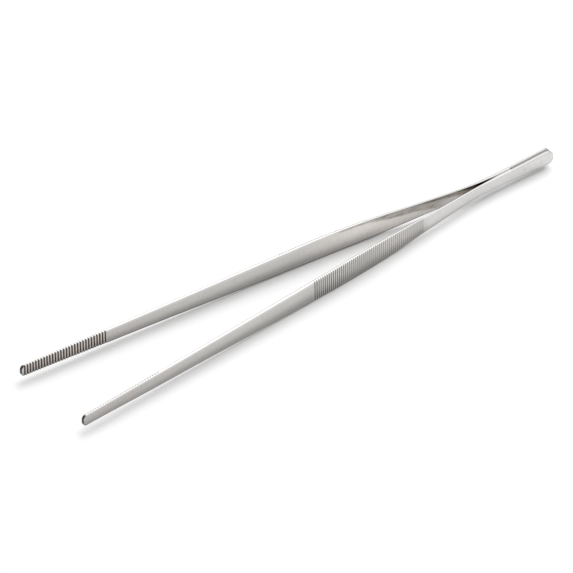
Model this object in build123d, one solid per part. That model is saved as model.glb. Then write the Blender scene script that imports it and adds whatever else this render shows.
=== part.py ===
from build123d import *
from math import asin, atan2, degrees, hypot, pi, radians, tan
import os

# Cooking tweezers of stainless steel: two sprung leaves joined at the butt.
# They lie on their side, with the tips towards -X and the width of the leaves along Z.
# The origin is under the middle of the whole, on the surface that they lie on.
# Lengths are in millimetres and angles in degrees. "Along" is measured from the butt end
# towards the tips and "back" from the tips towards the butt, both parallel to X.

# Whole object
LENGTH = 300.0

# Outline of a leaf, seen square to its flat face
PADDLE_WIDTH = 7.2
PADDLE_CORNER_RADIUS = 3.0
WAIST_WIDTH = 5.4
WAIST_ALONG = 37.0
BELLY_WIDTH = 11.7
BELLY_ALONG = 127.0
JAW_WIDTH = 6.95
JAW_BACK = 45.0
TIP_WIDTH = 5.8
TIP_CORNER_RADIUS = 2.1

# Points of the outline between those widths: share of the way along, share of the change of width
NECK_SHARES = ((0.45, 0.58),)
SHOULDER_SHARES = ((0.25, 0.13), (0.48, 0.46), (0.74, 0.86))
FLANK_SHARES = ((0.26, 0.26), (0.57, 0.61), (0.86, 0.91))

# Run of the inner face of a leaf, seen from above
POCKET_LENGTH = 25.0
SEAM_LENGTH = 6.0
PARTING_LENGTH = 3.0
PARTING_ANGLE = 4.0
NECK_LENGTH = 5.5
FLARE_LENGTH = 18.0
FLARE_ANGLE = 6.73
SPRING_LENGTH = 39.5
BEND_LENGTH = 45.0
ARM_ANGLE = 4.42

# Thickness of a leaf, and the lengths over which it changes
SEAM_THICKNESS = 2.0
SPRING_THICKNESS = 1.1
SHANK_THICKNESS = 1.8
TIP_THICKNESS = 1.4
THINNING_LENGTH = 20.0
THIN_LENGTH = 28.0
THICKENING_LENGTH = 76.0
TIP_THINNING_LENGTH = 60.0

# Finger ribs, across the outer face: they start a little way before the bend
RIB_LEAD = 14.0
RIB_COUNT = 55
RIB_PITCH = 1.32
RIB_GROOVE_WIDTH = 0.7
RIB_GROOVE_DEPTH = 0.18

# Plain stretch of an arm past its ribs, up to its jaw: they are two nodes, so that the
# collision shape of each is nearly straight, but one strip of steel
GRIP_MARGIN = 4.0

# Jaw serrations, across the inner face
TOOTH_BACK = 0.98
TOOTH_COUNT = 30
TOOTH_PITCH = 1.535
TOOTH_GROOVE_WIDTH = 1.02
TOOTH_GROOVE_DEPTH = 0.42
TOOTH_FLOOR_WIDTH = 0.3

# Butt: the pocket between the paddles, its spacer plate and the spot welds
SLOT_WIDTH = 1.3
SPACER_RECESS = 0.25
SPACER_SETBACK = 0.6
WELD_RADIUS = 1.1
WELD_DEPTH = 0.7
WELD_PLACE_SHARES = (0.3, 0.72)

# Flexure: the pivot that stands for the bending of the spring zone, a little way into it
PIVOT_LEAD = 14.5
PIVOT_CLEARANCE = 0.05
CLOSED_TIP_GAP = 0.1

# Overrun of all cuts, and the spacing of the points that a curved face passes through
OVERRUN = 5.0
CURVE_STEP = 5.0

# Places worked out from the sizes above
BUTT_X = LENGTH / 2
MID_HEIGHT = BELLY_WIDTH / 2
PARTING_ALONG = POCKET_LENGTH + SEAM_LENGTH
NECK_ALONG = PARTING_ALONG + PARTING_LENGTH
FLARE_ALONG = NECK_ALONG + NECK_LENGTH
SPRING_ALONG = FLARE_ALONG + FLARE_LENGTH
PIVOT_ALONG = SPRING_ALONG + PIVOT_LEAD
BEND_ALONG = SPRING_ALONG + SPRING_LENGTH
RIB_ALONG = BEND_ALONG - RIB_LEAD
RIB_END_ALONG = RIB_ALONG + RIB_COUNT * RIB_PITCH
JAW_ALONG = RIB_END_ALONG + GRIP_MARGIN
TOOTH_ALONG = LENGTH - TOOTH_BACK - TOOTH_COUNT * TOOTH_PITCH

# Planes of the two views that a leaf is drawn in
TOP_PLANE = Plane((0, 0, MID_HEIGHT))
SIDE_PLANE = Plane((0, 0, MID_HEIGHT), x_dir=(1, 0, 0), z_dir=(0, -1, 0))

# Bends of the inner face: start, length and the slope gained, away from the middle plane
BENDS = (
    (PARTING_ALONG, PARTING_LENGTH, tan(radians(PARTING_ANGLE))),
    (FLARE_ALONG, FLARE_LENGTH, tan(radians(FLARE_ANGLE)) - tan(radians(PARTING_ANGLE))),
    (BEND_ALONG, BEND_LENGTH, tan(radians(ARM_ANGLE)) - tan(radians(FLARE_ANGLE))),
)

# Changes of thickness: start, length and the thickness gained
TAPERS = (
    (PARTING_ALONG, THINNING_LENGTH, SPRING_THICKNESS - SEAM_THICKNESS),
    (PARTING_ALONG + THINNING_LENGTH + THIN_LENGTH, THICKENING_LENGTH, SHANK_THICKNESS - SPRING_THICKNESS),
    (LENGTH - TIP_THINNING_LENGTH, TIP_THINNING_LENGTH, TIP_THICKNESS - SHANK_THICKNESS),
)


def between(start, end, share):
    """The value a share of the way from start to end."""
    return start + (end - start) * share


def share_done(along, start, length):
    """Share of a stretch that lies behind a place: 0 before it and 1 past it."""
    return min(max((along - start) / length, 0), 1)


def inner_slope(along):
    """Slope of the inner face away from the middle plane."""
    return sum(slope * share_done(along, start, length) for start, length, slope in BENDS)


def inner_y(along):
    """Distance of the inner face from the middle plane: a parabola in each bend, then a line."""
    total = 0
    for start, length, slope in BENDS:
        inside = share_done(along, start, length)
        past = max(along - start - length, 0)
        total += slope * (length * inside * inside / 2 + past)
    return total


def thickness(along):
    """Thickness of a leaf: thick at the seam, thin where it springs, thick again in the shank."""
    total = SEAM_THICKNESS
    for start, length, gain in TAPERS:
        done = share_done(along, start, length)
        total += gain * done * done * (3 - 2 * done)
    return total


def outer_slope(along):
    """Slope of the outer face: the inner one's and what the change of thickness adds."""
    total = inner_slope(along)
    for start, length, gain in TAPERS:
        done = share_done(along, start, length)
        total += gain * 6 * done * (1 - done) / length
    return total


def leaf_point(along, depth=0):
    """Point of the right leaf at a depth under its inner face, square to that face."""
    slope = inner_slope(along)
    scale = depth / hypot(1, slope)
    return (BUTT_X - along + slope * scale, inner_y(along) + scale)


def outer_point(along, depth=0):
    """Point of the right leaf at a depth under its outer face."""
    return leaf_point(along, thickness(along) - depth)


def inner_bend(start, length):
    """Inner face round one bend, which is a parabola between its two tangents."""
    corner_y = inner_y(start) + inner_slope(start) * length / 2
    corner = (BUTT_X - start - length / 2, corner_y)
    return Bezier(leaf_point(start), corner, leaf_point(start + length))


def outer_curve(start, end):
    """Outer face from one place along to another nearer the butt."""
    steps = max(round((start - end) / CURVE_STEP), 2)
    points = [outer_point(between(start, end, step / steps)) for step in range(steps + 1)]
    return Spline(*points, tangents=((1, -outer_slope(start)), (1, -outer_slope(end))))


def tooth_points():
    """Outline of the jaw serrations, from the butt side to the tip side."""
    wall = (TOOTH_GROOVE_WIDTH - TOOTH_FLOOR_WIDTH) / 2
    points = []
    for tooth in range(TOOTH_COUNT):
        edge = TOOTH_ALONG + tooth * TOOTH_PITCH
        points.append(leaf_point(edge))
        points.append(leaf_point(edge + wall, TOOTH_GROOVE_DEPTH))
        points.append(leaf_point(edge + wall + TOOTH_FLOOR_WIDTH, TOOTH_GROOVE_DEPTH))
        points.append(leaf_point(edge + TOOTH_GROOVE_WIDTH))
    return points


def rib_points():
    """Zigzag of the finger ribs, from the tip side to the butt side."""
    points = []
    for rib in range(RIB_COUNT):
        edge = RIB_END_ALONG - rib * RIB_PITCH
        points.append(outer_point(edge))
        points.append(outer_point(edge - RIB_GROOVE_WIDTH / 2, RIB_GROOVE_DEPTH))
        points.append(outer_point(edge - RIB_GROOVE_WIDTH))
    points.append(outer_point(RIB_ALONG))
    return points


def moving_profile():
    """The moving part of the right leaf seen from above, from its round pivot end to past the tip."""
    tip_along = LENGTH + OVERRUN
    with BuildSketch(TOP_PLANE) as profile:
        with BuildLine():
            Line(leaf_point(PIVOT_ALONG), leaf_point(BEND_ALONG))
            inner_bend(BEND_ALONG, BEND_LENGTH)
            Line(leaf_point(BEND_ALONG + BEND_LENGTH), leaf_point(TOOTH_ALONG))
            Polyline(*tooth_points(), leaf_point(tip_along), outer_point(tip_along))
            outer_curve(tip_along, RIB_END_ALONG)
            Polyline(*rib_points())
            outer_curve(RIB_ALONG, PIVOT_ALONG)
            ThreePointArc(outer_point(PIVOT_ALONG), knuckle_crown(), leaf_point(PIVOT_ALONG))
        make_face()
    return profile.sketch


def root_profile():
    """The right leaf seen from above, from past the butt end to the pivot."""
    butt_end = BUTT_X + OVERRUN
    pocket_end = BUTT_X - POCKET_LENGTH
    with BuildSketch(TOP_PLANE) as profile:
        with BuildLine():
            Polyline((pocket_end, SLOT_WIDTH / 2), (pocket_end, 0), leaf_point(PARTING_ALONG))
            inner_bend(PARTING_ALONG, PARTING_LENGTH)
            Line(leaf_point(NECK_ALONG), leaf_point(FLARE_ALONG))
            inner_bend(FLARE_ALONG, FLARE_LENGTH)
            Polyline(leaf_point(SPRING_ALONG), leaf_point(PIVOT_ALONG), outer_point(PIVOT_ALONG))
            outer_curve(PIVOT_ALONG, PARTING_ALONG)
            Polyline(outer_point(PARTING_ALONG), (butt_end, SEAM_THICKNESS), (butt_end, SLOT_WIDTH / 2))
            Line((butt_end, SLOT_WIDTH / 2), (pocket_end, SLOT_WIDTH / 2))
        make_face()
    return profile.sketch


def pivot_point():
    """Place of the right leaf's pivot axis, seen from above: in the middle of its thickness."""
    return leaf_point(PIVOT_ALONG, thickness(PIVOT_ALONG) / 2)


def knuckle_crown():
    """Point of the arm's round end that lies nearest to the butt."""
    x, y = pivot_point()
    slope = inner_slope(PIVOT_ALONG)
    radius = thickness(PIVOT_ALONG) / 2
    return (x + radius / hypot(1, slope), y - slope * radius / hypot(1, slope))


def stretch(start, end, shares):
    """Outline points between two places, each a pair of distance along and half width."""
    return [(between(start[0], end[0], way), between(start[1], end[1], part)) for way, part in shares]


def outline_edges(inset):
    """Upper edge of the leaf, as points from the paddle's corner to the belly and on to the tip's."""
    paddle = (PADDLE_CORNER_RADIUS, PADDLE_WIDTH / 2)
    waist = (WAIST_ALONG, WAIST_WIDTH / 2)
    belly = (BELLY_ALONG, BELLY_WIDTH / 2)
    jaw = (LENGTH - JAW_BACK, JAW_WIDTH / 2)
    tip = (LENGTH - TIP_CORNER_RADIUS, TIP_WIDTH / 2)
    rear = [paddle, *stretch(paddle, waist, NECK_SHARES), waist, *stretch(waist, belly, SHOULDER_SHARES), belly]
    front = [belly, *stretch(belly, jaw, FLANK_SHARES), jaw, tip]
    return [[(BUTT_X - along, half - inset) for along, half in edge] for edge in (rear, front)]


def outline_prism(reach, inset=0):
    """Leaf outline with rounded ends, or one set in from it, pushed out to both sides."""
    rear, front = outline_edges(inset)
    butt_corner = (BUTT_X - inset, PADDLE_WIDTH / 2 - PADDLE_CORNER_RADIUS)
    tip_corner = (BUTT_X - LENGTH + inset, TIP_WIDTH / 2 - TIP_CORNER_RADIUS)
    tip_ward = (-1, 0)
    with BuildSketch(SIDE_PLANE) as outline:
        with BuildLine():
            Line((butt_corner[0], 0), butt_corner)
            TangentArc(butt_corner, rear[0], tangent=(0, 1))
            Spline(*rear, tangents=(tip_ward, tip_ward))
            Spline(*front, tangents=(tip_ward, tip_ward))
            TangentArc(front[-1], tip_corner, tangent=tip_ward)
            Line(tip_corner, (tip_corner[0], 0))
            mirror(about=Plane.XZ)
        make_face()
    return extrude(outline.sketch, reach, both=True)


def cut_from_strip(profile):
    """A stretch of the right leaf: its view from above and its outline, brought together."""
    strip = extrude(profile, BELLY_WIDTH / 2 + OVERRUN, both=True)
    return strip & outline_prism(outer_point(LENGTH)[1] + OVERRUN)


def spot_welds():
    """Nuggets across the butt, from inside one leaf to inside the other."""
    nugget = Cylinder(WELD_RADIUS, SLOT_WIDTH + 2 * WELD_DEPTH, rotation=(90, 0, 0))
    first, last = SPACER_RECESS, POCKET_LENGTH - SPACER_SETBACK
    places = [between(first, last, share) for share in WELD_PLACE_SHARES]
    return [nugget.moved(Location((BUTT_X - along, 0, MID_HEIGHT))) for along in places]


def butt_spacer():
    """Plate that fills the pocket between the paddles, set in from their edges."""
    room = Box(POCKET_LENGTH, SLOT_WIDTH, BELLY_WIDTH, align=(Align.MIN, Align.CENTER, Align.CENTER))
    front = BUTT_X - POCKET_LENGTH + SPACER_SETBACK
    plate = outline_prism(SLOT_WIDTH / 2, SPACER_RECESS) & room.moved(Location((front, 0, MID_HEIGHT)))
    return plate - spot_welds()


def right_leaf_root():
    """Paddle, seam and flare of the right leaf, with the pivot's hollow and the welds' seats."""
    hollow = Cylinder(thickness(PIVOT_ALONG) / 2 + PIVOT_CLEARANCE, BELLY_WIDTH)
    return cut_from_strip(root_profile()) - hollow.moved(Location((*pivot_point(), MID_HEIGHT))) - spot_welds()


def right_arm_and_jaw():
    """The moving part of the right leaf, cut apart square to its length, past its ribs."""
    parting = Plane.YZ.offset(BUTT_X - JAW_ALONG)
    moving = cut_from_strip(moving_profile())
    return split(moving, bisect_by=parting), split(moving, bisect_by=parting, keep=Keep.BOTTOM)


def closing_angle():
    """Turn of an arm that brings its tip next to the middle plane."""
    axis_x, axis_y = pivot_point()
    tip_x, tip_y = leaf_point(LENGTH)
    reach = hypot(tip_x - axis_x, tip_y - axis_y)
    closed = pi - asin((CLOSED_TIP_GAP / 2 - axis_y) / reach)
    return degrees(closed - atan2(tip_y - axis_y, tip_x - axis_x))


root = right_leaf_root()
arm, jaw = right_arm_and_jaw()
nodes = {
    "right_leaf_root": root,
    "right_leaf_arm": arm,
    "right_leaf_jaw": jaw,
    "left_leaf_root": mirror(root, about=Plane.XZ),
    "left_leaf_arm": mirror(arm, about=Plane.XZ),
    "left_leaf_jaw": mirror(jaw, about=Plane.XZ),
    "butt_spacer": butt_spacer(),
    "spot_welds": Compound(children=spot_welds()),
}
os.makedirs("parts", exist_ok=True)
for name, shape in nodes.items():
    export_step(shape, f"parts/{name}.step")
pivot_x, pivot_y = pivot_point()
print(f"pivot axis at x {pivot_x:.4f}, y {pivot_y:.4f} mm; closes by {closing_angle():.3f} degrees")
print(f"half gap between tips at rest {inner_y(LENGTH):.3f} mm")
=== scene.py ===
from math import cos, hypot, pi, radians, sin, sqrt, tan

import bpy
from bpy.props import FloatProperty, FloatVectorProperty, IntProperty, PointerProperty
from mathutils import Matrix, Vector


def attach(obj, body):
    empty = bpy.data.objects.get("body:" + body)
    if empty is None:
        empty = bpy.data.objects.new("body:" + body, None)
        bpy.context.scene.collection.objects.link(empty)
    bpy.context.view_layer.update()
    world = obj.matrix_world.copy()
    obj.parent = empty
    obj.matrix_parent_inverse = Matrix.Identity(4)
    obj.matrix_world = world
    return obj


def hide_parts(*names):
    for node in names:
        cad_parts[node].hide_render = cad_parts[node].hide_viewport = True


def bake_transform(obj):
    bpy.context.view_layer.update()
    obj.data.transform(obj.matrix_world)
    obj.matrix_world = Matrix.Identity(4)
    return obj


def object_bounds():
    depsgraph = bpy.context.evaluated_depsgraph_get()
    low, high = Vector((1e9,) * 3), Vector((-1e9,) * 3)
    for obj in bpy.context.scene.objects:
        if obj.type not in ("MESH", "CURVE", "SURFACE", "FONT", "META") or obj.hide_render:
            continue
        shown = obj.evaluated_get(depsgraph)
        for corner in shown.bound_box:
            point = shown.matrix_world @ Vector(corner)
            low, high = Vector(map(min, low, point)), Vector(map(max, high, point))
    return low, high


bl_info = {
    "name": "Cooking Tweezers",
    "version": (1, 0, 0),
    "blender": (4, 5, 0),
    "location": "3D View > Sidebar > Tweezers",
    "description": "Brushed steel leaves, butt plate, welds and studio for long cooking tweezers",
    "category": "Object",
}

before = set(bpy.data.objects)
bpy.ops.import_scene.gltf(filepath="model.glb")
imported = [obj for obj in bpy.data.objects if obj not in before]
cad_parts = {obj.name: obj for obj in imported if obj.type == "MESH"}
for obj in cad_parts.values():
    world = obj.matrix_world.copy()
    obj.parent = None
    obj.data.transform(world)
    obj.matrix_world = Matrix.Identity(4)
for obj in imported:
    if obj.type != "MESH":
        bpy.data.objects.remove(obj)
CAD_BOX = [list(corner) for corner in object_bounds()]
BUTT_X = CAD_BOX[1][0]
LEAF_LENGTH = CAD_BOX[1][0] - CAD_BOX[0][0]
MID_HEIGHT = (CAD_BOX[0][2] + CAD_BOX[1][2]) / 2


# Sizes and colours


def settings_of(kind, **fixed):
    """A maker of one kind of setting, from its name, description and default."""

    def setting(name, description, default):
        return kind(name=name, description=description, default=default, **fixed)

    return setting


length = settings_of(FloatProperty, unit="LENGTH", subtype="DISTANCE", precision=5)
angle = settings_of(FloatProperty, unit="ROTATION", subtype="ANGLE")
share = settings_of(FloatProperty, min=0, max=1, subtype="FACTOR")
colour = settings_of(FloatVectorProperty, min=0, max=1, size=3, subtype="COLOR")
number = settings_of(FloatProperty, min=0)
ratio = settings_of(FloatProperty, min=1)
watts = settings_of(FloatProperty, min=0, unit="POWER")
count = settings_of(IntProperty, min=1)


class LeafOutline(bpy.types.PropertyGroup):
    """Outline of a leaf, seen square to its flat face."""

    length: length("Length", "From the butt end to the tip", LEAF_LENGTH)
    paddle_width: length("Paddle width", "Width at the butt", 0.0072)
    paddle_corner: length("Paddle corner", "Radius of the butt's corners", 0.0030)
    waist_width: length("Waist width", "Narrowest width behind the grip", 0.0054)
    waist_along: length("Waist place", "From the butt end to the waist", 0.037)
    belly_width: length("Belly width", "Widest width, at the finger ribs", 0.0117)
    belly_along: length("Belly place", "From the butt end to the belly", 0.127)
    jaw_width: length("Jaw width", "Width where the serrations start", 0.00695)
    jaw_back: length("Jaw place", "From the tip back to that width", 0.045)
    tip_width: length("Tip width", "Width at the tip", 0.0058)
    tip_corner: length("Tip corner", "Radius of the tip's corners", 0.0021)
    outer_edge: length("Outer edge height", "Height of the outer face's rounded edges", 0.00022)
    inner_edge: length("Inner edge height", "Height of the inner face's rounded edges", 0.00020)
    edge_crown: ratio("Edge crown", "Width of the upper edges' rounding over its height", 2.4)
    tip_crown: ratio("Tip crown", "The same at the tip", 1.5)
    crisp_reach: length("Crisp reach", "Reach of the crisp inner upper edges", 0.055)
    rim_reach: length("Rim reach", "Width of the worn strip", 0.00072)
    under_edge: length("Lower edge radius", "Rounding of the lower edges", 0.00012)


class LeafRun(bpy.types.PropertyGroup):
    """Bends and thickness of a leaf, seen from above."""

    pocket_length: length("Pocket length", "Reach of the slot between the paddles", 0.025)
    seam_length: length("Seam length", "Stretch where the leaves touch", 0.006)
    parting_length: length("Parting length", "Short bend where the leaves part", 0.003)
    parting_angle: angle("Parting angle", "Slope past that bend", radians(4.0))
    neck_length: length("Neck length", "Straight between the two bends", 0.0055)
    flare_length: length("Flare length", "Second bend, which spreads the leaves", 0.018)
    flare_angle: angle("Flare angle", "Slope of the spring zone", radians(6.73))
    spring_length: length("Spring length", "Straight thin stretch that flexes", 0.0395)
    pivot_lead: length("Pivot lead", "From the start of the spring zone to the pivot", 0.0145)
    flex_reach: length("Flex reach", "Reach of the bending to each side of the pivot", 0.028)
    bend_length: length("Bend length", "Stretch that bends the arms back", 0.045)
    arm_angle: angle("Arm angle", "Slope of the arm and jaw", radians(4.42))
    seam_thickness: length("Seam thickness", "Thickness at the butt", 0.0020)
    spring_thickness: length("Spring thickness", "Thickness where the leaf flexes", 0.0011)
    shank_thickness: length("Shank thickness", "Thickness of the arm", 0.0018)
    tip_thickness: length("Tip thickness", "Thickness at the tip", 0.0014)
    thinning_length: length("Thinning length", "From seam to spring thickness", 0.020)
    thin_length: length("Thin length", "Even spring thickness", 0.028)
    thickening_length: length("Thickening length", "From spring to shank thickness", 0.076)
    tip_thinning_length: length("Tip thinning length", "From shank to tip thickness", 0.060)


class LeafGrip(bpy.types.PropertyGroup):
    """Finger ribs across the outer face and serrations across the inner one."""

    rib_lead: length("Rib lead", "How far before the bend the ribs start", 0.014)
    rib_count: count("Ribs", "Number of rib grooves", 55)
    rib_pitch: length("Rib pitch", "From one rib to the next", 0.00132)
    rib_width: length("Rib groove width", "Width of a rib groove", 0.00070)
    rib_depth: length("Rib groove depth", "Depth of a rib groove", 0.00018)
    tooth_back: length("Tooth setback", "Plain stretch at the tip", 0.00098)
    tooth_count: count("Teeth", "Number of serration grooves", 30)
    tooth_pitch: length("Tooth pitch", "From one tooth to the next", 0.001535)
    tooth_width: length("Tooth groove width", "Width of a serration groove", 0.00102)
    tooth_floor: length("Tooth floor width", "Width of a serration groove's floor", 0.00030)
    tooth_depth: length("Tooth groove depth", "Depth of a serration groove", 0.00042)


class ButtJoin(bpy.types.PropertyGroup):
    """Plate and welds that hold the two leaves together."""

    slot_width: length("Slot width", "Gap between the paddles", 0.0013)
    plate_recess: length("Plate recess", "From the paddles' edges in to the plate", 0.00025)
    plate_setback: length("Plate setback", "From the plate to the pocket's end", 0.0006)
    plate_edge: length("Plate edge radius", "Rounding of the plate's edges", 0.00012)
    weld_radius: length("Weld radius", "Radius of a spot weld", 0.0011)
    first_weld: share("First weld", "Place along the plate", 0.30)
    second_weld: share("Second weld", "Place along the plate", 0.72)


class SteelFinish(bpy.types.PropertyGroup):
    """Colours and roughness of the steel."""

    butt_steel: colour("Butt steel", "Smooth steel behind the ribs", (0.70, 0.692, 0.684))
    inner_steel: colour("Inner steel", "Inner faces past the scale", (0.80, 0.765, 0.735))
    arm_steel: colour("Arm steel", "Brushed steel past the ribs", (0.60, 0.584, 0.564))
    # Tip steel: brushed steel, made darker than the arm's as painted shade
    tip_steel: colour("Tip steel", "Brushed steel at the tips", (0.50, 0.479, 0.463))
    scale_steel: colour("Scaled steel", "Inner faces at the butt", (0.50, 0.47, 0.44))
    # Painted shade in the bottoms of the rib grooves
    rib_groove_painted_shade: colour("Rib groove steel", "Bottom of the ribs' grooves", (0.09, 0.084, 0.077))
    crest_steel: colour("Tooth crest steel", "Steel between the serrations", (0.69, 0.64, 0.605))
    # Painted shade in the bottoms of the serration grooves
    tooth_groove_painted_shade: colour("Tooth groove steel", "Bottom of the serrations", (0.045, 0.035, 0.030))
    # End wall colour: painted dark reflection on the tips' end walls
    end_steel: colour("End steel", "Ground end walls of the tips", (0.05, 0.047, 0.043))
    rim_steel: colour("Rim steel", "Worn bright edges", (0.66, 0.652, 0.643))
    butt_rim: colour("Butt rim steel", "Edges at the butt", (0.53, 0.523, 0.515))
    stain_steel: colour("Stained steel", "Stains on the scaled faces", (0.33, 0.30, 0.27))
    # Lower edge colour: painted shade along the lower edges
    lower_edge_painted_shade: colour("Lower edge steel", "Unpolished lower edges", (0.26, 0.25, 0.24))
    plate_steel: colour("Plate steel", "Plate between the paddles", (0.38, 0.37, 0.358))
    weld_steel: colour("Weld steel", "Fused welds", (0.36, 0.345, 0.33))
    roughness: share("Roughness", "Roughness of the leaves", 0.15)
    plate_roughness: share("Plate roughness", "Roughness of the plate", 0.42)


class StudioSet(bpy.types.PropertyGroup):
    """Floor, light and camera."""

    floor_colour: colour("Floor colour", "Colour of the plain floor", (0.97, 0.97, 0.97))
    floor_reach: length("Floor reach", "Half the side of the floor", 6.0)
    sky_light: number("Room light", "Even light from all round", 0.60)
    walls: number("Walls", "Brightness of the room in the steel", 1.0)
    screen: number("Screen", "Extra brightness in the steel", 0.66)
    card: number("Card", "Darkness of the card in the steel", 0.90)
    lamp_power: watts("Lamp power", "Power of the soft lamp behind", 78.0)
    lamp_side: length("Lamp side", "Side of the large soft lamp", 2.7)
    camera_azimuth: angle("Camera azimuth", "Turn of the view about the vertical", radians(-37.212))
    camera_elevation: angle("Camera elevation", "Height of the view above the floor", radians(37.500))
    camera_roll: angle("Camera roll", "Tilt of the picture", radians(-1.095))
    camera_distance: length("Camera distance", "From the tweezers to the camera", 4.18807)
    camera_right: length("Camera shift right", "Sideways place of the camera", -0.008930)
    camera_up: length("Camera shift up", "Upward place of the camera", -0.006372)
    focal_share: number("Focal length share", "Focal length over the picture's width", 15.435)


# Shape of a leaf, in metres: "along" runs from the butt end to the tip, parallel to X

# Outline between its widths: shares of the way along and of the change of width
NECK_SHARES = ((0.45, 0.58),)
SHOULDER_SHARES = ((0.25, 0.13), (0.48, 0.46), (0.74, 0.86))
FLANK_SHARES = ((0.26, 0.26), (0.57, 0.61), (0.86, 0.91))

# Crown of the upper edges: where it comes in by height, and past the crisp inner edges, and
# where it changes to the tip's, as shares of the length
UPPER_START = -0.0012
UPPER_REACH = 0.0024
INNER_CROWN_REACH = 0.030
TIP_CROWN_START = 0.55
TIP_CROWN_REACH = 0.30

# Power of the sine that shapes a rib's groove, and rounds of the search for the inner face's
# place under a point of the outer one
RIB_ROUNDNESS = 1.5
SEARCH_ROUNDS = 4

# Steps between the points of the meshes
LENGTH_STEPS = 150
PLATE_STEPS = 30
CORNER_STEPS = 14
RAMP_STEPS = 5
PARTING_STEPS = 6
RIB_STEPS = 8
FACE_STEPS = 6
EDGE_STEPS = 7
FLOOR_STEPS = 12

# Rounded edges: crowding of their points, margin past them, and largest share of the half width
EDGE_CROWDING = 1.6
EDGE_MARGIN = 0.00008
EDGE_SHARE = 0.7

# Least distances between points along the leaves and the plate
LEAF_SPACING = 0.00002
PLATE_SPACING = 0.00001

# Edges sharper than this many degrees aren't shaded smooth
SHARP_ANGLE = 34


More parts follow.
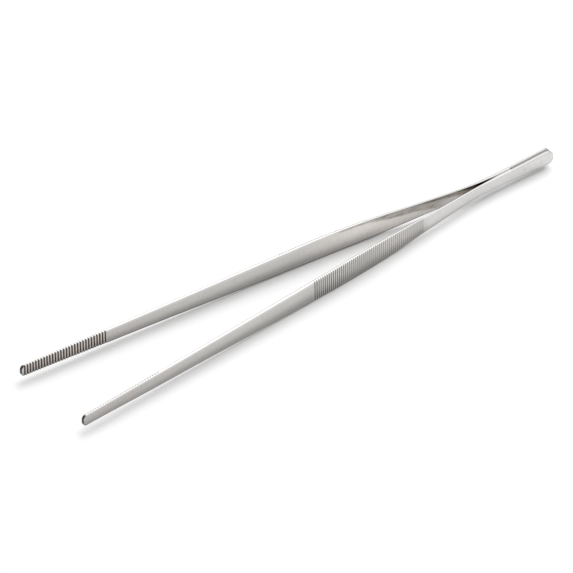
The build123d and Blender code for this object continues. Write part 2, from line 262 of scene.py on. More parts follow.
class LeafForm:
    """Faces, edges, ribs and serrations of the right leaf."""

    def __init__(self, scene):
        self.outline = scene.leaf_outline
        self.run = scene.leaf_run
        self.grip = scene.leaf_grip
        self.butt = scene.butt_join
        run, grip = self.run, self.grip
        self.length = self.outline.length
        self.parting_along = run.pocket_length + run.seam_length
        self.flare_along = self.parting_along + run.parting_length + run.neck_length
        self.spring_along = self.flare_along + run.flare_length
        self.pivot_along = self.spring_along + run.pivot_lead
        self.bend_along = self.spring_along + run.spring_length
        self.rib_along = self.bend_along - grip.rib_lead
        self.rib_end = self.rib_along + grip.rib_count * grip.rib_pitch
        self.tooth_along = self.length - grip.tooth_back - grip.tooth_count * grip.tooth_pitch
        parting, flare, arm = tan(run.parting_angle), tan(run.flare_angle), tan(run.arm_angle)
        self.bends = (
            (self.parting_along, run.parting_length, parting),
            (self.flare_along, run.flare_length, flare - parting),
            (self.bend_along, run.bend_length, arm - flare),
        )
        thick_along = self.parting_along + run.thinning_length + run.thin_length
        tip_reach = run.tip_thinning_length
        self.tapers = (
            (self.parting_along, run.thinning_length, run.spring_thickness - run.seam_thickness),
            (thick_along, run.thickening_length, run.shank_thickness - run.spring_thickness),
            (self.length - tip_reach, tip_reach, run.tip_thickness - run.shank_thickness),
        )
        self.knots = self.outline_knots()

    def inner_slope(self, along):
        """Slope of the inner face away from the middle plane."""
        return sum(slope * share_done(along, start, reach) for start, reach, slope in self.bends)

    def inner_y(self, along):
        """Distance of the inner face from the middle plane."""
        total = 0
        for start, reach, slope in self.bends:
            inside = share_done(along, start, reach)
            past = max(along - start - reach, 0)
            total += slope * (reach * inside * inside / 2 + past)
        return total

    def thickness(self, along):
        """Thickness of the leaf, square to its inner face."""
        total = self.run.seam_thickness
        for start, reach, gain in self.tapers:
            done = share_done(along, start, reach)
            total += gain * eased(done)
        return total

    def outer_shift(self, along):
        """How far towards the butt a point of the outer face lies from the point under it."""
        slope = self.inner_slope(along)
        return slope * self.thickness(along) / hypot(1, slope)

    def outer_along(self, along):
        """Place on the inner face under the outer face's point at this distance along X."""
        under = along
        for _ in range(SEARCH_ROUNDS):
            under = along + self.outer_shift(under)
        return under

    def outer_y(self, along):
        """Distance of the outer face from the middle plane, at this distance along X."""
        under = self.outer_along(along)
        return self.inner_y(under) + self.thickness(under) / hypot(1, self.inner_slope(under))

    def outline_knots(self):
        """Places, half widths and slopes of the upper edge, from corner to corner."""
        sizes = self.outline
        paddle = (sizes.paddle_corner, sizes.paddle_width / 2)
        waist = (sizes.waist_along, sizes.waist_width / 2)
        belly = (sizes.belly_along, sizes.belly_width / 2)
        jaw = (self.length - sizes.jaw_back, sizes.jaw_width / 2)
        tip = (self.length - sizes.tip_corner, sizes.tip_width / 2)
        neck = stretch(paddle, waist, NECK_SHARES)
        shoulder = stretch(waist, belly, SHOULDER_SHARES)
        flank = stretch(belly, jaw, FLANK_SHARES)
        points = [paddle, *neck, waist, *shoulder, belly, *flank, jaw, tip]
        flat = (paddle, belly, tip)
        return [(*point, 0 if point in flat else slope_at(points, i)) for i, point in enumerate(points)]

    def ends(self, along):
        """Corner radius and half width of both ends, each with the distance from it."""
        sizes = self.outline
        return (
            (sizes.paddle_corner, sizes.paddle_width / 2, along),
            (sizes.tip_corner, sizes.tip_width / 2, self.length - along),
        )

    def half_width(self, along):
        """Half the width of the leaf, with its rounded ends."""
        for corner, half, from_end in self.ends(along):
            if from_end < corner:
                return half - corner + sqrt(max(corner**2 - (corner - from_end) ** 2, 0))
        for (start, low, low_slope), (end, high, high_slope) in zip(self.knots, self.knots[1:]):
            if along <= end:
                reach = end - start
                done = (along - start) / reach
                out = done * (1 - done) ** 2 * low_slope * reach
                back = done * done * (1 - done) * high_slope * reach
                return low + (high - low) * eased(done) + out - back
        return self.knots[-1][1]

    def rim_distance(self, along, height):
        """Distance from a point of a face to the leaf's outline."""
        for corner, half, from_end in self.ends(along):
            if from_end < corner:
                past = abs(height) - (half - corner)
                return corner - hypot(corner - from_end, past) if past > 0 else from_end
        nudge = self.outline.outer_edge
        rise = (self.half_width(along + nudge) - self.half_width(along - nudge)) / (2 * nudge)
        return (self.half_width(along) - abs(height)) / hypot(1, rise)

    def edge_depth(self, along, height, inner):
        """Depth of a face's rounded edge, crowned above and crisp below."""
        sizes = self.outline
        reach = sizes.inner_edge if inner else sizes.outer_edge
        up = eased(share_done(height, UPPER_START, UPPER_REACH))
        tipward = share_done(along, TIP_CROWN_START * self.length, TIP_CROWN_REACH * self.length)
        crown = sizes.edge_crown + (sizes.tip_crown - sizes.edge_crown) * tipward
        if inner:
            crown = 1 + (crown - 1) * share_done(along, sizes.crisp_reach, INNER_CROWN_REACH)
        radius = sizes.under_edge + (reach - sizes.under_edge) * up
        return edge_drop(self.rim_distance(along, height), radius) * (1 + (crown - 1) * up)

    def rib_depth(self, along):
        """Depth of the finger ribs' round grooves."""
        grip = self.grip
        place = (self.rib_end - along) / grip.rib_pitch
        if not 0 < place < grip.rib_count:
            return 0
        across = (place % 1) * grip.rib_pitch / grip.rib_width
        return grip.rib_depth * sin(pi * across) ** RIB_ROUNDNESS if across < 1 else 0

    def tooth_depth(self, along):
        """Depth of the serrations' slanted grooves."""
        grip = self.grip
        place = (along - self.tooth_along) / grip.tooth_pitch
        if not 0 < place < grip.tooth_count:
            return 0
        across = (place % 1) * grip.tooth_pitch
        wall = (grip.tooth_width - grip.tooth_floor) / 2
        from_side = min(across, grip.tooth_width - across)
        return grip.tooth_depth * min(max(from_side / wall, 0), 1)

    def pocket_depth(self, along):
        """Depth of the pocket in the paddle, which ends in a small ramp."""
        ramp = self.outline.inner_edge
        risen = share_done(along, self.run.pocket_length - ramp, ramp)
        return self.butt.slot_width / 2 * (1 - eased(risen))

    def places_along(self):
        """Distances along at which the faces get points, close together where they change."""
        sizes, run, grip = self.outline, self.run, self.grip
        places = even(0, self.length, LENGTH_STEPS)
        for corner, end, inward in ((sizes.paddle_corner, 0, 1), (sizes.tip_corner, self.length, -1)):
            insets = corner_insets(corner) + edge_insets(sizes.outer_edge) + edge_insets(sizes.inner_edge)
            places += [end + inward * inset for inset in insets]
        places += even(run.pocket_length - sizes.inner_edge, run.pocket_length, RAMP_STEPS)
        places += even(self.parting_along, self.parting_along + run.parting_length, PARTING_STEPS)
        for rib in range(grip.rib_count):
            edge = self.rib_end - rib * grip.rib_pitch
            groove = even(edge, edge - grip.rib_width, RIB_STEPS)
            places += [place - self.outer_shift(place) for place in groove]
        wall = (grip.tooth_width - grip.tooth_floor) / 2
        for tooth in range(grip.tooth_count):
            edge = self.tooth_along + tooth * grip.tooth_pitch
            places += [edge + across for across in (0, wall, grip.tooth_width - wall, grip.tooth_width)]
        places += [self.rib_along, self.rib_end, self.tooth_along]
        return thinned_out(places, 0, self.length, LEAF_SPACING)


def share_done(along, start, reach):
    """Share of a stretch that lies behind a place: 0 before it and 1 past it."""
    return min(max((along - start) / reach, 0), 1)


def eased(done):
    """A share turned into one that starts and ends gently."""
    return done * done * (3 - 2 * done)


def even(start, end, steps):
    """Values at even steps from start to end, with both among them."""
    return [start + (end - start) * step / steps for step in range(steps + 1)]


def stretch(start, end, shares):
    """Outline points between two others, at shares of the way and of the change."""
    return [
        (start[0] + (end[0] - start[0]) * way, start[1] + (end[1] - start[1]) * part) for way, part in shares
    ]


def slope_at(points, i):
    """Slope of a smooth curve through the points, at an inner one."""
    (x0, y0), (x1, y1), (x2, y2) = points[i - 1 : i + 2]
    before, after = (y1 - y0) / (x1 - x0), (y2 - y1) / (x2 - x1)
    return (before * (x2 - x1) + after * (x1 - x0)) / (x2 - x0)


def thinned_out(places, start, end, least):
    """The places in order between both ends, with none nearer than that to the one before it."""
    kept = [start]
    for place in sorted(places):
        if least < place - kept[-1] and place < end - least:
            kept.append(place)
    return [*kept, end]


def corner_insets(radius):
    """Distances from an end at which a rounded corner gets points."""
    return [radius * (1 - cos(turn)) for turn in even(0, pi / 2, CORNER_STEPS)]


def edge_insets(reach):
    """Distances from the outline at which a rounded edge gets points, the last one just past it."""
    turns = [pi / 2 * part**EDGE_CROWDING for part in even(1, 0, EDGE_STEPS)]
    return [*[reach * (1 - sin(turn)) for turn in turns], reach + EDGE_MARGIN]


def edge_drop(distance, radius):
    """How far a rounded edge lies under its face, at a distance from the outline."""
    inside = max(radius - max(distance, 0), 0)
    return radius - sqrt(max(radius**2 - inside**2, 0))


# Meshes


class PlateMesh:
    """A closed plate: two faces with the same outline, and a wall between them."""

    def __init__(self, places, half_width):
        self.places = places
        self.half_width = half_width
        self.points = []
        self.faces = []
        self.values = {}

    def across(self, half, edges):
        """Heights of the points across a face, close together at its edges."""
        reaches = [min(edge, EDGE_SHARE * half) for edge in edges]
        upper, lower = ([half - inset for inset in edge_insets(reach)] for reach in reaches)
        middle = even(upper[-1], -lower[-1], FACE_STEPS)[1:-1]
        return [*upper, *middle, *[-height for height in reversed(lower)]]

    def add_face(self, edges, surface, outwards):
        """Adds one face. surface gives y and the named values at a place and height."""
        rows = []
        for along in self.places:
            row = []
            for height in self.across(self.half_width(along), edges):
                y, values = surface(along, height)
                row.append(len(self.points))
                self.points.append((BUTT_X - along, y, MID_HEIGHT + height))
                for name, value in values.items():
                    self.values.setdefault(name, []).append(value)
            rows.append(row)
        for near, far in zip(rows, rows[1:]):
            for i in range(len(near) - 1):
                self.add_quad((near[i], near[i + 1], far[i + 1], far[i]), outwards)
        last = len(rows[0]) - 1
        return [
            *rows[0],
            *[row[last] for row in rows[1:]],
            *reversed(rows[-1][:last]),
            *[row[0] for row in reversed(rows[1:-1])],
        ]

    def add_quad(self, corners, outwards):
        """Adds four corners, turned so that the face looks outwards."""
        self.faces.append(corners if outwards else corners[::-1])

    def add_wall(self, one_border, other_border):
        """Joins the borders of the two faces."""
        pairs = list(zip(one_border, other_border))
        for (a, b), (c, d) in zip(pairs, pairs[1:] + pairs[:1]):
            self.add_quad((a, b, d, c), True)

    def made(self, name, side):
        """The mesh object. A side of -1 turns the right leaf into the left one."""
        points = [(x, side * y, z) for x, y, z in self.points]
        faces = self.faces if side > 0 else [face[::-1] for face in self.faces]
        mesh = bpy.data.meshes.new(name)
        mesh.from_pydata(points, [], faces)
        for value_name, values in self.values.items():
            kind, field = ("FLOAT_VECTOR", "vector") if isinstance(values[0], tuple) else ("FLOAT", "value")
            flat = [part for value in values for part in value] if field == "vector" else values
            mesh.attributes.new(value_name, kind, "POINT").data.foreach_set(field, flat)
        mesh.validate()
        mesh.shade_smooth()
        mesh.set_sharp_from_angle(angle=radians(SHARP_ANGLE))
        piece = bpy.data.objects.new(name, mesh)
        bpy.context.scene.collection.objects.link(piece)
        return piece


def leaf_piece(form, name, side):
    """One whole leaf, from its paddle to its tip."""
    sizes = form.outline

    def values(along, height, face, depth, full_depth):
        distance = form.rim_distance(along, height)
        return {
            "strip_place": (along, height, face),
            "groove_share": min(depth / full_depth, 1),
            "rim_share": max(1 - max(distance, 0) / sizes.rim_reach, 0),
            "low_share": -height / form.half_width(along),
        }

    def outer(along, height):
        under = form.outer_along(along)
        groove = form.rib_depth(under)
        depth = max(form.edge_depth(along, height, False), groove)
        y = form.outer_y(along) - depth * hypot(1, form.inner_slope(under))
        return y, values(along, height, 1.0, groove, form.grip.rib_depth)

    def inner(along, height):
        groove = form.tooth_depth(along)
        depth = max(form.edge_depth(along, height, True), groove)
        depth += form.pocket_depth(along)
        y = form.inner_y(along) + depth * hypot(1, form.inner_slope(along))
        return y, values(along, height, -1.0, groove, form.grip.tooth_depth)

    mesh = PlateMesh(form.places_along(), form.half_width)
    outer_border = mesh.add_face((sizes.outer_edge, sizes.under_edge), outer, True)
    inner_border = mesh.add_face((sizes.inner_edge, sizes.under_edge), inner, False)
    mesh.add_wall(outer_border, inner_border)
    return mesh.made(name, side)


def plate_piece(form, name):
    """The plate between the paddles, with rolled edges."""
    butt, sizes = form.butt, form.outline
    start = butt.plate_recess
    end = form.run.pocket_length - butt.plate_setback
    corner = sizes.paddle_corner - butt.plate_recess
    flat = sizes.paddle_width / 2 - sizes.paddle_corner

    def half_width(along):
        if along > corner:
            return form.half_width(along) - butt.plate_recess
        return flat + sqrt(max(corner**2 - (corner - (along - start)) ** 2, 0))

    def face(sign):
        def surface(along, height):
            past = abs(height) - flat
            from_end = along - start
            if from_end < corner and past > 0:
                distance = corner - hypot(corner - from_end, past)
            else:
                distance = min(half_width(along) - abs(height), max(from_end, 0))
            distance = min(distance, end - along)
            y = sign * (butt.slot_width / 2 - edge_drop(distance, butt.plate_edge))
            return y, {"strip_place": (along, height, sign)}

        return surface

    edge = edge_insets(butt.plate_edge)
    places = even(start, end, PLATE_STEPS)
    places += [start + inset for inset in corner_insets(corner) + edge]
    places += [end - inset for inset in edge]
    mesh = PlateMesh(thinned_out(places, start, end, PLATE_SPACING), half_width)
    edges = (butt.plate_edge, butt.plate_edge)
    mesh.add_wall(mesh.add_face(edges, face(1.0), True), mesh.add_face(edges, face(-1.0), False))
    return mesh.made(name, 1)


# Materials

# Textures: waves per metre along, across and between the faces, then detail and roughness
TEXTURES = {
    "grain": ((5200, 120, 3), 4, 0.6),
    "streaks": ((1900, 260, 3), 3, 0.6),
    "specks": ((1300, 1100, 3), 2, 0.6),
    "clouds": ((55, 160, 3), 3, 0.5),
    "scratches": ((60, 4200, 3), 2, 0.4),
    "stains": ((110, 420, 3), 4, 0.62),
}
PLATE_ROLLING = ((180, 2600, 1500), 4, 0.6)
PLATE_STAINS = ((420, 420, 420), 4, 0.6)
WELD_RIPPLES = ((2600, 2600, 2600), 5, 0.65)
WELD_PATCHES = ((700, 700, 700), 3, 0.5)

# Ranges of the textures, from where they start to show to where they show in full
LINE_RANGE = (0.38, 0.64)
SCRATCH_RANGE = (0.62, 0.74)
STAIN_RANGE = (0.40, 0.60)
PLATE_RANGE = (0.35, 0.85)
PATCH_RANGE = (0.40, 0.65)

# Weights of a leaf's textures in its lines, dullness, raised grain and roughness
LINE_WEIGHTS = {"streaks": 0.6, "specks": 0.4}
DULL_WEIGHTS = {"grain": 0.2, "lines": 0.5, "clouds": 0.5, "marks": 0.25}
GRAIN_WEIGHTS = {"grain": 0.55, "streaks": 0.45, "scratches": -0.25}
ROUGH_WEIGHTS = {
    "grain": 0.10,
    "streaks": 0.06,
    "clouds": 0.05,
    "marks": 0.05,
    "scratches": -0.05,
    "groove": 0.12,
}
DULL_START = -0.12
ROUGH_START = -0.10
DULL_TONE = 0.80
GRAIN_HEIGHT = 0.0000025

# A change starts at its first number and ends at its second, and goes from the third to the
# fourth, or else from 0 to 1

# Changes by place, as shares of the length from the butt end
OUTER_BRUSHING = (0.262, 0.285)
INNER_BRUSHING = (0.36, 0.50)
# TIP_COLOUR brings in the darker tip steel, which is painted shade
TIP_COLOUR = (0.60, 1.00)
CREST_FADING = (0.90, 1.00, 1, 0.55)
# OUTER_SHADE and INNER_SHADE set where the painted shade towards the lower edges reaches
OUTER_SHADE = (0.70, 0.90, 1, 0.65)
INNER_SHADE = (0.30, 0.37)
GROOVE_PAINTED_SHADE = (0.30, 0.50, 0.42, 1)
RIM_COLOUR = (0.12, 0.40)
# UNDER_RIM_START, UNDER_RIM_END, UNDER_GAIN and UNDER_TIP_GAIN shape the painted shade on the lower edges
UNDER_RIM_START = (0.45, 0.75, 0.20, 0.02)
UNDER_RIM_END = (0.45, 0.75, 0.75, 0.62)
UNDER_GAIN = (0.20, 0.40, 0.4, 1)
UNDER_TIP_GAIN = (0.75, 1.00, 0, 0.35)

# Changes by place, in metres from the butt end
INNER_TONE = (0.075, 0.105, 0.88, 1)
# BUTT_SHADE sets where that painted shade reaches on the butt
BUTT_SHADE = (0.030, 0.070)
BARE_START = (0.052, 0.058, 0, 0.9)
BARE_END = (0.062, 0.068, 1, 0)
JOINT_START = (0.0246, 0.0254, 0, 0.85)
JOINT_END = (0.036, 0.044, 1, 0)
MOUTH_SHADE = (0.038, 0.056, 0.25, 0)

# Changes by height above the leaf's middle line, in metres
BARE_TOP = (0, 0.003, 1, 0)
# UNDER_TOP keeps the painted lower edge shade to the lower part of the leaf
UNDER_TOP = (-0.0020, -0.0010, 1, 0)
# END_WALL_SHADE keeps the painted end reflection strongest over the upper part
END_WALL_SHADE = (-0.0024, -0.0006, 0.35, 1)

# Changes from the upper edge, at -1, to the lower one, at 1, for the painted shade towards the lower edges
BRUSHED_LOW = (-0.4, 1.3, 0, 0.42)
BUTT_LOW = (0.45, 1, 0, 0.25)

# Changes by nearness to the outline, which is 1 on it
CORNER_RIM = (0.42, 0.72)
END_WALL_RIM = (0.30, 0.75)

# Changes that start and end so far before the tip, or before the last rib, in metres
END_WALL = (0.0022, 0.0012)
LAST_RIBS = (0.0045, 0.0015)

# Scale on the inner faces: how far it reaches at mid height, further for each metre up and
# for the clouds, and the change at its end
SCALE_REACH = 0.068
SCALE_SLANT = 7
SCALE_WAVE = 0.03
SCALE_END = (-0.004, 0.006)

# Grooves: power that shapes their painted shade, how much less it is on the teeth and the last ribs, and how
# far before the teeth their crests' colour comes in, in metres
GROOVE_POWER = 0.9
TOOTH_DROP = 0.5
LAST_RIBS_DROP = 0.45
CREST_START = 0.0004

# Share of the rims' wear that shows, and of the painted shade on the lower edges, the share that the grooves
# lose and the share that the outer faces keep
RIM_WEAR = 0.9
UNDER_GROOVE_DROP = 0.8
UNDER_OUTER_SHARE = 0.65

# Weld marks on the paddles: they fade between these multiples of a weld's radius
WELD_MARK = (0.6, 1.3)

# Plate: weights of its rolling and stains, tone of its dark parts, roughness and grain
PLATE_ROLLING_WEIGHT = 0.5
PLATE_STAIN_WEIGHT = 0.7
PLATE_TONE = 0.62
PLATE_STAIN_ROUGHNESS = 0.2
PLATE_ROUGH_START = -0.08
PLATE_GRAIN_HEIGHT = 0.00001

# Welds: tint of their brown patches, roughness and height of their ripples
WELD_TINT = (1.1, 0.8, 0.6)
WELD_ROUGHNESS = 0.35
RIPPLE_ROUGHNESS = 0.25
RIPPLE_SHARE = 1 / 60


class Wire:
    """A socket's value, so that shader maths can be written as sums."""

    def __init__(self, shade, socket):
        self.shade = shade
        self.socket = socket

    def maths(self, operation, *values, clamp=False):
        """The result of a maths node."""
        sockets = dict(enumerate(values))
        return self.shade.node("ShaderNodeMath", sockets, operation=operation, use_clamp=clamp)

    def __add__(self, other):
        return self.maths("ADD", self, other)

    def __sub__(self, other):
        return self.maths("SUBTRACT", self, other)

    def __rsub__(self, other):
        return self.maths("SUBTRACT", other, self)

    def __mul__(self, other):
        return self.maths("MULTIPLY", self, other)

    def __truediv__(self, other):
        return self.maths("DIVIDE", self, other)

    def __pow__(self, other):
        return self.maths("POWER", self, other)

    __radd__ = __add__
    __rmul__ = __mul__

    def held(self):
        """The value held between 0 and 1."""
        return self.maths("ADD", self, 0, clamp=True)


class Shade:
    """A material made of nodes, from plain sums and one method for every other node."""

    def __init__(self, owner):
        owner.use_nodes = True
        self.tree = owner.node_tree
        self.tree.nodes.clear()

    def node(self, kind, sockets, give=0, **settings):
        """Adds a node: its settings first, then the values or links of its sockets."""
        made = self.tree.nodes.new(kind)
        for key, value in settings.items():
            setattr(made, key, value)
        for key, value in sockets.items():
            if isinstance(value, Wire):
                self.tree.links.new(value.socket, made.inputs[key])
            else:
                made.inputs[key].default_value = value
        return Wire(self, made.outputs[give]) if made.outputs else None

    def ramp(self, value, low, high, start=0.0, end=1.0):
        """Goes from start to end in an even curve, as the value goes from low to high."""
        sockets = {"Value": value, "From Min": low, "From Max": high, "To Min": start, "To Max": end}
        return self.node("ShaderNodeMapRange", sockets, interpolation_type="SMOOTHSTEP")

    def blend(self, factor, one, other):
        """A colour between two others."""
        one, other = (value if isinstance(value, Wire) else (*value, 1) for value in (one, other))
        sockets = {0: factor, 6: one, 7: other}
        return self.node("ShaderNodeMix", sockets, 2, data_type="RGBA")

    def toned(self, tint, kept):
        """A colour made darker, with only a share of it kept."""
        return self.node("ShaderNodeMix", {0: 1 - kept, 6: tint, 7: (0, 0, 0, 1)}, 2, data_type="RGBA")

    def facing(self, way, direction):
        """How far a way points in a direction: 1 along it and 0 across it."""
        return self.node("ShaderNodeVectorMath", {0: way, 1: direction}, "Value", operation="DOT_PRODUCT")

    def noise(self, place, scale, detail, roughness):
        """Soft noise, stretched by a scale for each direction."""
        place = self.node("ShaderNodeVectorMath", {0: place, 1: scale}, operation="MULTIPLY")
        sockets = {"Vector": place, "Scale": 1.0, "Detail": detail, "Roughness": roughness}
        return self.node("ShaderNodeTexNoise", sockets)

    def steel(self, base, roughness, height, lift):
        """Metal with a fine raised grain."""
        sockets = {"Strength": 1.0, "Distance": lift, "Height": height}
        grain = self.node("ShaderNodeBump", sockets)
        sockets = {"Base Color": base, "Metallic": 1.0, "Roughness": roughness, "Normal": grain}
        metal = self.node("ShaderNodeBsdfPrincipled", sockets)
        self.node("ShaderNodeOutputMaterial", {"Surface": metal})


def mesh_value(shade, name, give="Fac"):
    """A value that a mesh carries at its points."""
    return shade.node("ShaderNodeAttribute", {}, give, attribute_name=name)


class LeafPaint(Shade):
    """Brushed spring steel, laid on in layers by the values that a leaf's mesh carries."""

    def __init__(self, scene):
        self.finish = scene.steel_finish
        self.form = LeafForm(scene)
        self.material = bpy.data.materials.new("brushed_leaf_steel")
        super().__init__(self.material)
        place = mesh_value(self, "strip_place", "Vector")
        self.groove = mesh_value(self, "groove_share")
        self.rim = mesh_value(self, "rim_share")
        self.lowness = mesh_value(self, "low_share")
        parts = self.node("ShaderNodeSeparateXYZ", {0: place})
        self.along, self.height, face = (Wire(self, output) for output in parts.socket.node.outputs)
        self.way = self.along / self.form.length
        self.inner = (face * -1).held()
        self.outer = 1 - self.inner
        self.brushed_outer = self.outer * self.ramp(self.way, *OUTER_BRUSHING)
        self.textures = {name: self.noise(place, *sizes) for name, sizes in TEXTURES.items()}
        self.textures["lines"] = self.ramp(self.weighted(LINE_WEIGHTS, 0), *LINE_RANGE)
        self.textures["scratches"] = self.ramp(self.textures["scratches"], *SCRATCH_RANGE)
        self.textures["marks"] = self.weld_marks()
        self.textures["groove"] = self.groove

    def weighted(self, weights, start):
        """The textures added to a starting value, each times its weight."""
        return sum((weight * self.textures[name] for name, weight in weights.items()), start)

    def weld_marks(self):
        """Faint marks on the paddles, over the spot welds."""
        butt = self.form.butt
        reach = self.form.run.pocket_length - butt.plate_setback - butt.plate_recess
        fading = [part * butt.weld_radius for part in WELD_MARK]
        marks = 0
        for part in (butt.first_weld, butt.second_weld):
            away = self.along - (butt.plate_recess + reach * part)
            distance = (away * away + self.height * self.height) ** 0.5
            marks = marks + self.ramp(distance, *fading, 1.0, 0.0)
        return marks

    def bare_steel(self):
        """Smooth steel at the butt, brushed steel past it and bright crests of the teeth."""
        inner_steel = self.toned((*self.finish.inner_steel, 1), self.ramp(self.along, *INNER_TONE))
        steel = self.blend(self.inner, self.finish.butt_steel, inner_steel)
        brushed = self.brushed_outer + self.inner * self.ramp(self.way, *INNER_BRUSHING)
        steel = self.blend(brushed, steel, self.finish.arm_steel)
        steel = self.blend(self.ramp(self.way, *TIP_COLOUR), steel, self.finish.tip_steel)
        first_tooth = self.form.tooth_along
        crests = self.inner * self.ramp(self.along, first_tooth - CREST_START, first_tooth)
        steel = self.blend(crests * self.ramp(self.way, *CREST_FADING), steel, self.finish.crest_steel)
        dull = self.weighted(DULL_WEIGHTS, DULL_START).held()
        return self.blend(dull, steel, self.toned(steel, DULL_TONE))

    def painted_lower_shade(self):
        """Painted shade: how much darker the steel gets towards the lower edges."""
        brushed = self.brushed_outer * self.ramp(self.way, *OUTER_SHADE)
        brushed = brushed + self.inner * self.ramp(self.way, *INNER_SHADE)
        butt = self.outer * (1 - self.brushed_outer) * self.ramp(self.along, *BUTT_SHADE)
        dark = brushed * self.ramp(self.lowness, *BRUSHED_LOW)
        return dark + butt * self.ramp(self.lowness, *BUTT_LOW)

    def scale_share(self):
        """Share of unpolished scale: on the inner faces near the butt, with a bare patch low down."""
        reach = SCALE_SLANT * self.height + SCALE_WAVE * self.textures["clouds"] + SCALE_REACH
        scaled = self.inner * self.ramp(reach - self.along, *SCALE_END)
        bare = self.ramp(self.along, *BARE_START) * self.ramp(self.along, *BARE_END)
        return scaled * (1 - bare * self.ramp(self.height, *BARE_TOP))

    def scaled(self, base, scaled):
        """Lays stained scale over the steel."""
        stained = self.ramp(self.textures["stains"], *STAIN_RANGE)
        scale = self.blend(stained, self.finish.scale_steel, self.finish.stain_steel)
        return self.blend(scaled, base, scale)

    def grooved(self, base):
        """Paints shade into the grooves of the ribs and of the serrations."""
        before_end, at_end = (self.form.rib_end - back for back in LAST_RIBS)
        last_ribs = self.outer * self.ramp(self.along, before_end, at_end)
        power = GROOVE_POWER - TOOTH_DROP * self.inner - LAST_RIBS_DROP * last_ribs
        groove_shade = self.groove**power * self.ramp(self.way, *GROOVE_PAINTED_SHADE)
        return self.blend(groove_shade, base, self.blend(self.inner, self.finish.rib_groove_painted_shade, self.finish.tooth_groove_painted_shade))

    def worn(self, base, scaled):
        """Brightens the worn edges, apart from the closed joint, and paints shade into the mouth past it."""
        joint = self.inner * self.ramp(self.along, *JOINT_START) * self.ramp(self.along, *JOINT_END)
        corner = self.ramp(self.rim, *CORNER_RIM) * (1 - joint)
        wear = (self.rim - self.groove).held() * (1 - scaled) + corner * scaled
        rim_steel = self.blend(self.ramp(self.way, *RIM_COLOUR), self.finish.butt_rim, self.finish.rim_steel)
        base = self.blend(RIM_WEAR * wear, base, rim_steel)
        # Painted shade in the mouth past the joint, where the leaves part
        mouth = self.inner * self.ramp(self.along, *MOUTH_SHADE)
        return self.toned(base, 1 - mouth * (1 - corner))

    def lower_edges(self, base):
        """Paints shade onto the lower edges."""
        rim_start, rim_end = (self.ramp(self.way, *change) for change in (UNDER_RIM_START, UNDER_RIM_END))
        under = self.ramp(self.rim, rim_start, rim_end) * self.ramp(self.height, *UNDER_TOP)
        under = under * (1 - UNDER_GROOVE_DROP * self.groove) * self.ramp(self.way, *UNDER_GAIN)
        face_share = UNDER_OUTER_SHARE + (1 - UNDER_OUTER_SHARE) * self.inner
        under = under * (face_share + self.ramp(self.way, *UNDER_TIP_GAIN)).held()
        return self.blend(under, base, self.finish.lower_edge_painted_shade)

    def end_walls(self, base):
        """Paints a dark reflection onto the end walls of the tips, strongest over their upper part."""
        start, end = (self.form.length - back for back in END_WALL)
        wall = self.ramp(self.rim, *END_WALL_RIM) * self.ramp(self.along, start, end)
        return self.blend(wall * self.ramp(self.height, *END_WALL_SHADE), base, self.finish.end_steel)

    def made(self):
        """The material with all its layers."""
        scaled = self.scale_share()
        # Painted shade darkens the bare steel towards the lower edges
        base = self.toned(self.bare_steel(), 1 - self.painted_lower_shade())
        base = self.grooved(self.scaled(base, scaled))
        base = self.end_walls(self.lower_edges(self.worn(base, scaled)))
        roughness = self.weighted(ROUGH_WEIGHTS, self.finish.roughness + ROUGH_START)
        self.steel(base, roughness.held(), self.weighted(GRAIN_WEIGHTS, 0), GRAIN_HEIGHT)
        return self.material


def plate_steel(scene):
    """Dull rolled steel of the plate between the paddles."""
    finish = scene.steel_finish
    material = bpy.data.materials.new("rolled_plate_steel")
    shade = Shade(material)
    place = mesh_value(shade, "strip_place", "Vector")
    rolled = shade.noise(place, *PLATE_ROLLING)
    stain = shade.noise(place, *PLATE_STAINS)
    dull = shade.ramp(PLATE_ROLLING_WEIGHT * rolled + PLATE_STAIN_WEIGHT * stain, *PLATE_RANGE)
    dark = [PLATE_TONE * part for part in finish.plate_steel]
    base = shade.blend(dull, finish.plate_steel, dark)
    roughness = finish.plate_roughness + PLATE_STAIN_ROUGHNESS * stain + PLATE_ROUGH_START
    shade.steel(base, roughness.held(), rolled, PLATE_GRAIN_HEIGHT)
    return material


def weld_steel(scene):
    """Fused steel of the spot welds, with a rippled skin and brown patches."""
    finish, butt = scene.steel_finish, scene.butt_join
    material = bpy.data.materials.new("fused_weld_steel")
    shade = Shade(material)
    place = shade.node("ShaderNodeTexCoord", {}, "Object")
    ripple = shade.noise(place, *WELD_RIPPLES)
    patch = shade.noise(place, *WELD_PATCHES)
    brown = [tint * part for tint, part in zip(WELD_TINT, finish.weld_steel)]
    base = shade.blend(shade.ramp(patch, *PATCH_RANGE), finish.weld_steel, brown)
    roughness = WELD_ROUGHNESS + RIPPLE_ROUGHNESS * ripple
    shade.steel(base, roughness.held(), ripple, RIPPLE_SHARE * butt.weld_radius)
    return material


def floor_paint(scene):
    """Plain white floor that keeps the shadows."""
    studio = scene.studio_set
    material = bpy.data.materials.new("pale_floor")
    shade = Shade(material)
    paint = shade.node("ShaderNodeBsdfDiffuse", {"Color": (*studio.floor_colour, 1)})
    shade.node("ShaderNodeOutputMaterial", {"Surface": paint})
    return material


def seen(shade):
    """1 for what is seen, straight or mirrored in metal, and 0 for what lights the object."""
    path = shade.node("ShaderNodeLightPath", {}).socket.node
    names = ("Is Camera Ray", "Is Glossy Ray", "Is Transmission Ray", "Diffuse Depth")
    camera, glossy, clear, spread = (Wire(shade, path.outputs[name]) for name in names)
    return (camera + glossy + clear - spread).held()


def finish_with(piece, material):
    """Gives a piece one material."""
    piece.data.materials.clear()
    piece.data.materials.append(material)


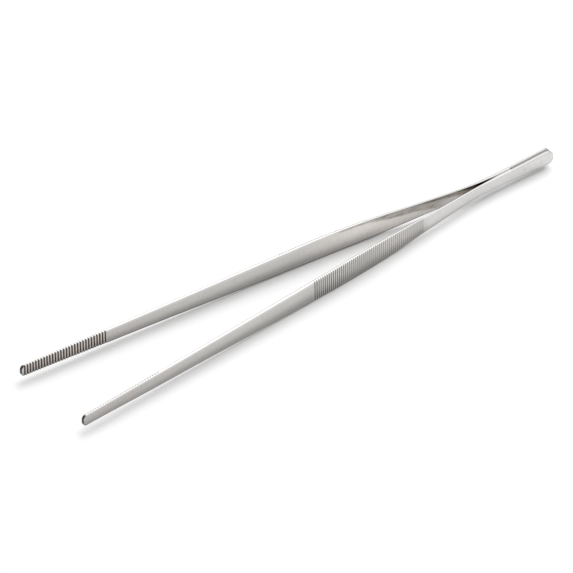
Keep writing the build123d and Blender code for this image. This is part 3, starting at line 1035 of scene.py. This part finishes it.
# Studio: a bright screen and a dark card, which are seen and mirrored but light nothing, and a lamp
SCREEN_DIRECTION = (0.43, 0.56, 0.707)
SCREEN_SPREAD = (0.62, 0.92)
CARD_DIRECTION = (0.605, 0.796, 0)
CARD_SPREAD = (0.80, 0.92)
CARD_TOP = (0.40, 0.59, 1.0, 0.0)
LAMP_PLACE = (1.75, 0.69, 2.25)


# Operators


class TWEEZERS_OT_make_leaves(bpy.types.Operator):
    """Makes both leaves, each as one strip of brushed steel"""

    bl_idname = "tweezers.make_leaves"
    bl_label = "Make leaves"

    def execute(self, context):
        form = LeafForm(context.scene)
        steel = LeafPaint(context.scene).made()
        for hand, side in (("left", -1), ("right", 1)):
            leaf = leaf_piece(form, f"{hand}_leaf", side)
            finish_with(leaf, steel)
            root, arm, jaw = (f"{hand}_leaf_{part}" for part in ("root", "arm", "jaw"))
            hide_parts(root, arm, jaw)
            pivot_x = BUTT_X - form.outer_along(form.pivot_along)
            y = side * form.inner_y(form.pivot_along)
            start = (pivot_x + form.run.flex_reach, y, MID_HEIGHT)
            end = (pivot_x - form.run.flex_reach, y, MID_HEIGHT)
            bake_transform(leaf)
        return {"FINISHED"}


class TWEEZERS_OT_make_plate(bpy.types.Operator):
    """Makes the plate that fills the slot between the paddles"""

    bl_idname = "tweezers.make_plate"
    bl_label = "Make butt plate"

    def execute(self, context):
        plate = plate_piece(LeafForm(context.scene), "butt_plate")
        finish_with(plate, plate_steel(context.scene))
        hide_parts("butt_spacer")
        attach(plate, "butt")
        return {"FINISHED"}


class TWEEZERS_OT_finish_welds(bpy.types.Operator):
    """Gives the spot welds their fused steel"""

    bl_idname = "tweezers.finish_welds"
    bl_label = "Finish welds"

    def execute(self, context):
        finish_with(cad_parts["spot_welds"], weld_steel(context.scene))
        return {"FINISHED"}


class TWEEZERS_OT_make_studio(bpy.types.Operator):
    """Makes the floor, the lights and the camera"""

    bl_idname = "tweezers.make_studio"
    bl_label = "Make studio"

    def execute(self, context):
        scene = context.scene
        self.make_floor(scene)
        self.make_room(scene)
        self.make_lamp(scene)
        self.make_camera(scene)
        scene.view_settings.view_transform = "Standard"
        return {"FINISHED"}

    def make_floor(self, scene):
        reach = scene.studio_set.floor_reach
        spots = even(-reach, reach, FLOOR_STEPS)
        points = [(x, y, 0) for x in spots for y in spots]
        wide = len(spots)
        corners = [i * wide + j for i in range(FLOOR_STEPS) for j in range(FLOOR_STEPS)]
        faces = [(c, c + wide, c + wide + 1, c + 1) for c in corners]
        mesh = bpy.data.meshes.new("floor")
        mesh.from_pydata(points, [], faces)
        floor = bpy.data.objects.new("floor", mesh)
        scene.collection.objects.link(floor)
        finish_with(floor, floor_paint(scene))

    def make_room(self, scene):
        studio = scene.studio_set
        room = bpy.data.worlds.new("room")
        scene.world = room
        shade = Shade(room)
        way = shade.node("ShaderNodeTexCoord", {}, "Generated")
        rise = shade.node("ShaderNodeSeparateXYZ", {0: way}, "Z")
        screen = shade.ramp(shade.facing(way, SCREEN_DIRECTION), *SCREEN_SPREAD)
        card = shade.ramp(shade.facing(way, CARD_DIRECTION), *CARD_SPREAD) * shade.ramp(rise, *CARD_TOP)
        mirrored = studio.walls + studio.screen * screen - studio.card * card
        strength = studio.sky_light + (mirrored - studio.sky_light) * seen(shade)
        light = shade.node("ShaderNodeBackground", {"Color": (1, 1, 1, 1), "Strength": strength})
        shade.node("ShaderNodeOutputWorld", {"Surface": light})

    def make_lamp(self, scene):
        studio = scene.studio_set
        lamp = bpy.data.lights.new("soft_lamp", "AREA")
        lamp.shape = "SQUARE"
        lamp.size = studio.lamp_side
        lamp.energy = studio.lamp_power
        stand = bpy.data.objects.new("soft_lamp", lamp)
        scene.collection.objects.link(stand)
        place = Vector(LAMP_PLACE)
        aim = (-place).to_track_quat("-Z", "Y")
        stand.matrix_world = Matrix.Translation(place) @ aim.to_matrix().to_4x4()
        stand.visible_camera = False
        stand.visible_glossy = False

    def make_camera(self, scene):
        studio = scene.studio_set
        turn, lift, roll = studio.camera_azimuth, studio.camera_elevation, studio.camera_roll
        back = Vector((sin(turn) * cos(lift), -cos(turn) * cos(lift), sin(lift)))
        level = Vector((cos(turn), sin(turn), 0))
        upright = back.cross(level)
        right = cos(roll) * level + sin(roll) * upright
        up = back.cross(right)
        place = back * studio.camera_distance + right * studio.camera_right + up * studio.camera_up
        place.z += MID_HEIGHT
        lens = bpy.data.cameras.new("camera")
        lens.sensor_fit = "HORIZONTAL"
        lens.lens = lens.sensor_width * studio.focal_share
        camera = bpy.data.objects.new("camera", lens)
        scene.collection.objects.link(camera)
        axes = Matrix((right, up, back)).transposed().to_4x4()
        camera.matrix_world = Matrix.Translation(place) @ axes
        scene.camera = camera


class TWEEZERS_PT_bench(bpy.types.Panel):
    """Lists the pieces of the tweezers and their sizes"""

    bl_idname = "TWEEZERS_PT_bench"
    bl_label = "Cooking Tweezers"
    bl_space_type = "VIEW_3D"
    bl_region_type = "UI"
    bl_category = "Tweezers"

    def draw(self, context):
        layout = self.layout
        for operator in OPERATORS:
            layout.operator(operator.bl_idname)
        for field, group in GROUPS.items():
            box = layout.box()
            box.label(text=group.__doc__.rstrip("."))
            settings = getattr(context.scene, field)
            for name in group.__annotations__:
                box.prop(settings, name)


OPERATORS = (
    TWEEZERS_OT_make_leaves,
    TWEEZERS_OT_make_plate,
    TWEEZERS_OT_finish_welds,
    TWEEZERS_OT_make_studio,
)
GROUPS = {
    "leaf_outline": LeafOutline,
    "leaf_run": LeafRun,
    "leaf_grip": LeafGrip,
    "butt_join": ButtJoin,
    "steel_finish": SteelFinish,
    "studio_set": StudioSet,
}


def register():
    for kind in (*GROUPS.values(), *OPERATORS, TWEEZERS_PT_bench):
        bpy.utils.register_class(kind)
    for field, group in GROUPS.items():
        setattr(bpy.types.Scene, field, PointerProperty(type=group))


def unregister():
    for field in GROUPS:
        delattr(bpy.types.Scene, field)
    for kind in reversed((*GROUPS.values(), *OPERATORS, TWEEZERS_PT_bench)):
        bpy.utils.unregister_class(kind)


def main():
    register()
    bpy.ops.tweezers.make_leaves()
    bpy.ops.tweezers.make_plate()
    bpy.ops.tweezers.finish_welds()
    bpy.ops.tweezers.make_studio()


if __name__ == "__main__":
    main()
